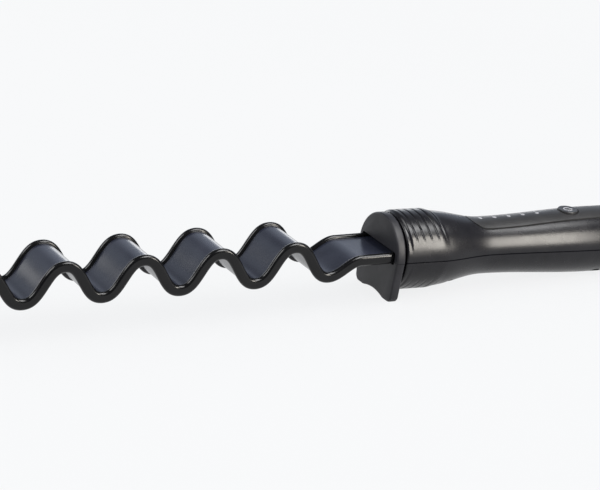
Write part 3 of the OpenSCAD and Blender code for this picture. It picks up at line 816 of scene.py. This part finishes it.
def rib_tree():
    """Raises a pad on the head and presses leaning grooves into it."""
    tree = bpy.data.node_groups.new("ribbed pad", "GeometryNodeTree")
    tree.interface.new_socket("Geometry", in_out="INPUT", socket_type="NodeSocketGeometry")
    sizes = {"Top Rise": PAD_RISE, "Belly Rise": BELLY_RISE, "Pad Start": PAD_FROM,
             "Groove Pitch": RIB_PITCH, "Groove Count": float(RIB_COUNT), "Groove Width": RIB_WIDTH,
             "Groove Depth": RIB_DEPTH, "Lean": math.tan(math.radians(RIB_LEAN)), "Edge": PAD_EDGE}
    for name, size in sizes.items():
        socket = tree.interface.new_socket(name, in_out="INPUT", socket_type="NodeSocketFloat")
        socket.default_value = size
    tree.interface.new_socket("Geometry", in_out="OUTPUT", socket_type="NodeSocketGeometry")
    given = tree.nodes.new("NodeGroupInput")
    (rise, belly, start, pitch, count, width, depth, lean, edge) = (
        Term(tree, given.outputs[n]) for n in sizes)
    parts = tree.nodes.new("ShaderNodeSeparateXYZ")
    tree.links.new(tree.nodes.new("GeometryNodeInputPosition").outputs[0], parts.inputs[0])
    x, y, z = (Term(tree, parts.outputs[i]) for i in range(3))
    reach = (y * y + z * z).math("SQRT")
    level = z / reach.math("MAXIMUM", 0.01)
    station = x + z.math("ABSOLUTE") * lean

    def rounded_step(distance, span):
        share = (distance / span).math("MAXIMUM", 0.0).math("MINIMUM", 1.0)
        return (Term(tree, 1.0) - (share * math.pi).math("COSINE")) * 0.5

    length = pitch * count + 2.0
    over = rounded_step(station - start - z.math("ABSOLUTE") * lean * 0.35, edge)
    before = rounded_step(start + length - station + 1.0, edge * 3.5)
    above = rounded_step(level - PAD_FADE[0], Term(tree, PAD_FADE[1]))
    below = (level * -1.0).math("MAXIMUM", 0.0)
    pad = (rise * above + belly * below) * over * before
    phase = (station - start - FIRST_RIB) / pitch
    nearest = phase.math("ROUND").math("MAXIMUM", 0.0).math("MINIMUM", count - 1.0)
    away = ((phase - nearest) * pitch).math("ABSOLUTE") / (width * 0.5)
    valley = Term(tree, 1.0) - rounded_step(away, Term(tree, 1.0))
    fade = rounded_step(level.math("ABSOLUTE") - RIB_FADE[0], Term(tree, RIB_FADE[1]))
    lift = pad - valley * depth * fade * (below * -0.45 + 1.0)
    scale = (reach + lift) / reach.math("MAXIMUM", 0.01)
    joined = tree.nodes.new("ShaderNodeCombineXYZ")
    put(tree, joined.inputs[0], x)
    put(tree, joined.inputs[1], y * scale)
    put(tree, joined.inputs[2], z * scale)
    on_head = x.math("GREATER_THAN", HEAD_FRONT + 0.6) * x.math("LESS_THAN", HEAD_END)
    inside = on_head * reach.math("GREATER_THAN", OUTSIDE_R)
    move = tree.nodes.new("GeometryNodeSetPosition")
    tree.links.new(given.outputs["Geometry"], move.inputs["Geometry"])
    tree.links.new(joined.outputs[0], move.inputs["Position"])
    put(tree, move.inputs["Selection"], inside)
    result = tree.nodes.new("NodeGroupOutput")
    tree.links.new(move.outputs[0], result.inputs["Geometry"])
    return tree


RIBS = rib_tree()


def handle_solid():
    """The handle's whole outside as one solid, with seam groove, pads and ribs."""
    lean = math.tan(math.radians(RIB_LEAN))
    front = [(HEAD_FRONT, HEAD_R - 0.75), (HEAD_FRONT + 0.1, HEAD_R - 0.4),
             (HEAD_FRONT + 0.35, HEAD_R - 0.13), (HEAD_FRONT + 0.75, HEAD_R)]
    stations = [x for x, _ in front]
    stations += (list(np.arange(HEAD_FRONT + 1.2, 38.0, 0.26))
                 + list(np.arange(38.2, TAIL_FROM, 0.9)))
    stations += [HANDLE_LEN - (HANDLE_LEN - TAIL_FROM) * (1 - math.sin(a))
                 for a in np.linspace(0, math.pi / 2, 30)]
    fine = [0.0, 0.35, 0.7, 1.1, 1.8]
    quarter = fine + list(np.arange(3.6, 88.3, 1.8))
    around = {round(a, 4) for q in quarter for a in (q, 180 - q, 180 + q, 360 - q)}
    angles = sorted(around - {360.0} | {90.0, 270.0})
    points = []
    for index, x in enumerate(stations):
        r = front[index][1] if index < len(front) else handle_r(x)
        shift_on = min(max((x - HEAD_FRONT - 0.8) / 3, 0), 1) * min(max((HEAD_END - x) / 8, 0), 1)
        for a in angles:
            c, s = math.cos(math.radians(a)), math.sin(math.radians(a))
            from_seam = min(abs(a - t) for t in (0, 180, 360))
            dip = SEAM_DIP * max(0, 1 - from_seam / SEAM_DIP_REACH)
            shift = -lean * r * abs(s) * shift_on
            points.append((x + shift if shift_on > 0 else x, (r - dip) * c, (r - dip) * s))
    count = len(angles)
    faces = skin_faces(len(stations), count)
    made = mesh_object("handle_solid", points, faces)
    for index, vertex in enumerate(made.data.vertices):
        x = vertex.co.x
        reach = math.hypot(vertex.co.y, vertex.co.z)
        row = index // count
        if row >= len(front) and x > HEAD_FRONT + 0.6:
            true_r = handle_r(x) - (handle_r(stations[row]) - reach)
            vertex.co.y *= true_r / reach
            vertex.co.z *= true_r / reach
    return run_tree(face_outwards(made), RIBS)


def tongue(half, start, end):
    """Plan of the control panel or its recess."""
    return arc((end - half, 0), half, -90, 90, 40) + arc((start + half, 0), half, 90, 270, 40)


def panel_recess():
    """The panel's seat with a shallower groove around it."""
    groove = prism("groove", tongue(PANEL_HALF, PANEL_FRONT, PANEL_BACK), *TOP_CUT)
    groove = cut(groove, turned("floor", -GROOVE_DEPTH, *SKIN_SPAN))
    inset = PANEL_GAP - 0.05
    seat = prism("tool", tongue(PANEL_HALF - inset, PANEL_FRONT + inset, PANEL_BACK - inset),
                 *TOP_CUT)
    seat = cut(seat, turned("floor", -PANEL_DEPTH, *SKIN_SPAN))
    return cut(seat, groove, "UNION")


def led_at(i):
    return LED_X + i * LED_PITCH


def post(x, y, radius, low, high, steps=40):
    return prism("tool", arc((x, y), radius, 0, 360 - 360 / steps, steps), low, high)


def hollow():
    room = turned("hollow", -WALL, HEAD_FRONT + WALL, HANDLE_LEN - 11.5)
    mouth_r = SPIGOT_R + 0.2
    mouth = revolve("mouth", [(4, 0), (4, mouth_r), (HEAD_FRONT + 3, mouth_r), (HEAD_FRONT + 3, 0)])
    return cut(room, mouth, "UNION")


def swivel_room():
    steps = 24
    seat = [(BALL_X + (BALL_R + 0.1) * -math.cos(a), (BALL_R + 0.1) * math.sin(a))
            for a in np.linspace(0, math.pi, steps)]
    seat[0], seat[-1] = (seat[0][0], 0), (seat[-1][0], 0)
    room = revolve("room", seat)
    neck = revolve("neck", [(130, 0), (130, NECK_R + 0.4), (BALL_X, NECK_R + 0.4), (BALL_X, 0)])
    return cut(room, neck, "UNION")


def make_shells():
    whole = handle_solid()
    whole = cut(whole, hollow())
    whole = cut(whole, swivel_room())
    for name, low, high in (("upper_shell", SEAM_HALF, FAR), ("lower_shell", -FAR, -SEAM_HALF)):
        made = new_object(name + "_moulded", whole.data.copy())
        made = cut(made, block("tool", (-20, -FAR, low), (200, FAR, high)), "INTERSECT")
        if name == "upper_shell":
            made = cut(made, panel_recess())
            made = cut(made, post(BUTTON_X, 0, BUTTON_R + 0.1, *TOP_CUT, 72))
            for i in range(LED_COUNT):
                made = cut(made, post(led_at(i), 0, PIPE_R + 0.2, *TOP_CUT, 24))
        else:
            for x, y in SCREW_SPOTS:
                for side in (-1, 1):
                    made = cut(made, post(x, side * y, 2.6, -30, -6.5))
            made = cut(made, ground_tool())
        finish_piece(made, HANDLE, SHELL, "wand", "shell_satin", name, sharp=62.0)
    bpy.data.objects.remove(whole)


# ---- Control panel, indicators and button ----


def make_panel():
    plan = tongue(PANEL_HALF - PANEL_GAP, PANEL_FRONT + PANEL_GAP, PANEL_BACK - PANEL_GAP)
    panel = prism("control_panel_moulded", plan, *TOP_CUT)
    panel = cut(panel, turned("skin", -0.1, *SKIN_SPAN), "INTERSECT")
    panel = cut(panel, turned("floor", -PANEL_DEPTH + 0.05, *SKIN_SPAN))
    panel = cut(panel, post(BUTTON_X, 0, BUTTON_R + 0.35, *TOP_CUT, 72))
    for i in range(LED_COUNT):
        panel = cut(panel, post(led_at(i), 0, PIPE_R + 0.05, *TOP_CUT, 24))
    finish_piece(panel, HANDLE, PANEL, "wand", "panel_satin", "control_panel")


def indicator_tree():
    """A row of light pipes with round tops, one at each heat setting."""
    tree = bpy.data.node_groups.new("indicator row", "GeometryNodeTree")
    for name, kind, size in (("Count", "NodeSocketInt", LED_COUNT),
                             ("Spacing", "NodeSocketFloat", LED_PITCH),
                             ("Radius", "NodeSocketFloat", PIPE_R),
                             ("Length", "NodeSocketFloat", PIPE_LEN)):
        tree.interface.new_socket(name, in_out="INPUT", socket_type=kind).default_value = size
    tree.interface.new_socket("Finish", in_out="INPUT", socket_type="NodeSocketMaterial")
    tree.interface.new_socket("Geometry", in_out="OUTPUT", socket_type="NodeSocketGeometry")
    given = tree.nodes.new("NodeGroupInput")
    row = tree.nodes.new("GeometryNodeMeshLine")
    tree.links.new(given.outputs["Count"], row.inputs["Count"])
    offset = tree.nodes.new("ShaderNodeCombineXYZ")
    tree.links.new(given.outputs["Spacing"], offset.inputs[0])
    tree.links.new(offset.outputs[0], row.inputs["Offset"])
    pipe = tree.nodes.new("GeometryNodeMeshCylinder")
    pipe.inputs["Vertices"].default_value = 28
    tree.links.new(given.outputs["Radius"], pipe.inputs["Radius"])
    tree.links.new(given.outputs["Length"], pipe.inputs["Depth"])
    place = tree.nodes.new("GeometryNodeInstanceOnPoints")
    tree.links.new(row.outputs[0], place.inputs["Points"])
    tree.links.new(pipe.outputs["Mesh"], place.inputs["Instance"])
    real = tree.nodes.new("GeometryNodeRealizeInstances")
    tree.links.new(place.outputs[0], real.inputs[0])
    paint = tree.nodes.new("GeometryNodeSetMaterial")
    tree.links.new(real.outputs[0], paint.inputs["Geometry"])
    tree.links.new(given.outputs["Finish"], paint.inputs["Material"])
    result = tree.nodes.new("NodeGroupOutput")
    tree.links.new(paint.outputs[0], result.inputs["Geometry"])
    return tree


def make_indicators():
    pipes = run_tree(mesh_object("light_pipes_moulded", [(0, 0, 0)], []), indicator_tree(),
                     Finish=LIGHT_PIPE)
    pipes.data.transform(Matrix.Translation((LED_X, 0, PIPE_FOOT + PIPE_LEN / 2)))
    pipes = cut(pipes, turned("skin", -0.06, *SKIN_SPAN), "INTERSECT")
    finish_piece(pipes, HANDLE, LIGHT_PIPE, "wand", "lens_clear", "light_pipes")
    ticks = []
    for i in range(LED_COUNT):
        x = led_at(i)
        ticks.append(block("tick", (x - 0.25, 2.0, 5), (x + 0.25, 2.9 + 0.35 * i, 30)))
    made = ticks[0]
    for tick in ticks[1:]:
        made = cut(made, tick, "UNION")
    made.name = "heat_marks"
    made = cut(made, turned("skin", -0.05, *SKIN_SPAN), "INTERSECT")
    made = cut(made, turned("floor", -0.25, *SKIN_SPAN))
    finish_piece(made, HANDLE, MARK, "wand", "panel_satin")


def make_button():
    top = handle_r(BUTTON_X) + 0.3
    profile = [(10.9, 0), (10.9, BUTTON_R + 1.2), (11.7, BUTTON_R + 1.2), (11.7, BUTTON_R)]
    edge = 0.5
    profile += [(top - edge + edge * math.sin(a), BUTTON_R - edge + edge * math.cos(a))
                for a in np.linspace(0, math.pi / 2, 7)]
    profile += [(top - 0.12, BUTTON_R - 1.6), (top - 0.16, 0)]
    cap = revolve("power_button_moulded", profile, 96)
    cap.data.transform(Matrix.Translation((BUTTON_X, 0, 0))
                       @ Matrix.Rotation(math.radians(-90), 4, "Y"))
    finish_piece(cap, HANDLE, BUTTON, "button", "panel_satin", "power_button")
    low, high = top - 0.3, top - 0.06
    ring = arc((BUTTON_X, 0), 2.3, 40, 320, 40) + arc((BUTTON_X, 0), 1.75, 320, 40, 40)
    mark = prism("power_mark", ring, low, high)
    bar = block("tool", (BUTTON_X + 0.6, -0.28, low), (BUTTON_X + 2.7, 0.28, high))
    mark = cut(mark, bar, "UNION")
    finish_piece(mark, HANDLE, MARK, "button", "panel_satin")


# ---- Swivel ----


def make_ball():
    face_r = math.sqrt(BALL_R ** 2 - (BALL_FACE - BALL_X) ** 2)
    last = math.pi - math.asin(face_r / BALL_R)
    first = math.asin(NECK_R / BALL_R)
    sphere = [(BALL_X - BALL_R * math.cos(a), BALL_R * math.sin(a))
              for a in np.linspace(first, last, 40)]
    profile = [(125.0, 1.6), (125.0, NECK_R)] + sphere
    profile += [(BALL_FACE, CORD_R + 0.35), (BALL_FACE - 0.35, CORD_R),
                (BALL_X - 5, CORD_R), (BALL_X - 5, 1.6)]
    ball = revolve("swivel_ball_moulded", profile, 96)
    finish_piece(ball, HANDLE, BALL, "swivel", "ball_black", "swivel_ball")


make_barrel()
make_tip_cap()
make_guard()
make_shells()
make_panel()
make_indicators()
make_button()
make_ball()

# ---- Floor and light ----


def make_floor():
    floor = block("floor", (-6000, -6000, -4), (6000, 6000, 0))
    floor.data.transform(TO_METRES)
    material, tree, bsdf = shader("floor_paper", (0.86, 0.865, 0.87), 0.9)
    vary_rough(tree, bsdf, object_noise(tree, 4, 2), 0.85, 0.95)
    floor.data.materials.append(material)
    return floor


def softbox(name, at, aim, size, glow, colour, lit):
    """A rectangular light placed in the handle's frame in mm, with its own brightness per area."""
    lamp = bpy.data.lights.new(name, "AREA")
    lamp.shape = "RECTANGLE"
    lamp.size, lamp.size_y = size[0] * MM, size[1] * MM
    lamp.energy = glow * math.pi * lamp.size * lamp.size_y
    lamp.color = colour
    made = bpy.data.objects.new(name, lamp)
    place, target = (HANDLE @ (Vector(v) * MM) for v in (at, aim))
    made.location = place
    made.rotation_mode = "QUATERNION"
    made.rotation_quaternion = (place - target).to_track_quat("Z", "Y")
    made.light_linking.receiver_collection = lit
    scene.collection.objects.link(made)


def make_light(floor):
    world = bpy.data.worlds.new("studio")
    world.use_nodes = True
    world.node_tree.nodes["Background"].inputs["Color"].default_value = (0.95, 0.97, 1.0, 1)
    world.node_tree.nodes["Background"].inputs["Strength"].default_value = 0.16
    scene.world = world
    wand = bpy.data.collections.new("wand lit")
    for made in bpy.data.objects:
        if made.type == "MESH" and made != floor:
            wand.objects.link(made)
    paper = bpy.data.collections.new("floor lit")
    paper.objects.link(floor)
    wash = bpy.data.objects.new("floor_wash", bpy.data.lights.new("floor_wash", "SUN"))
    wash.data.energy = 3.0
    wash.data.angle = math.radians(20)
    wash.light_linking.receiver_collection = paper
    wash.light_linking.blocker_collection = paper
    scene.collection.objects.link(wash)
    white, warm = (1, 1, 1), (1, 0.95, 0.87)
    softbox("key_box", (258, -330, 172), (258, 0, 9), (145, 235), 25, warm, wand)
    softbox("top_box", (150, -200, 520), (-110, 0, 0), (420, 320), 13, white, wand)
    softbox("left_box", (-610, 60, 460), (-110, 0, 0), (450, 350), 8, white, wand)
    softbox("back_strip", (-60, 800, 60), (-60, 0, 20), (1400, 220), 2.2, white, wand)
    softbox("backdrop", (300, 1100, 420), (-60, 0, 0), (3000, 750), 0.6, (0.72, 0.82, 1), wand)


make_light(make_floor())
scene.view_settings.view_transform = "Standard"
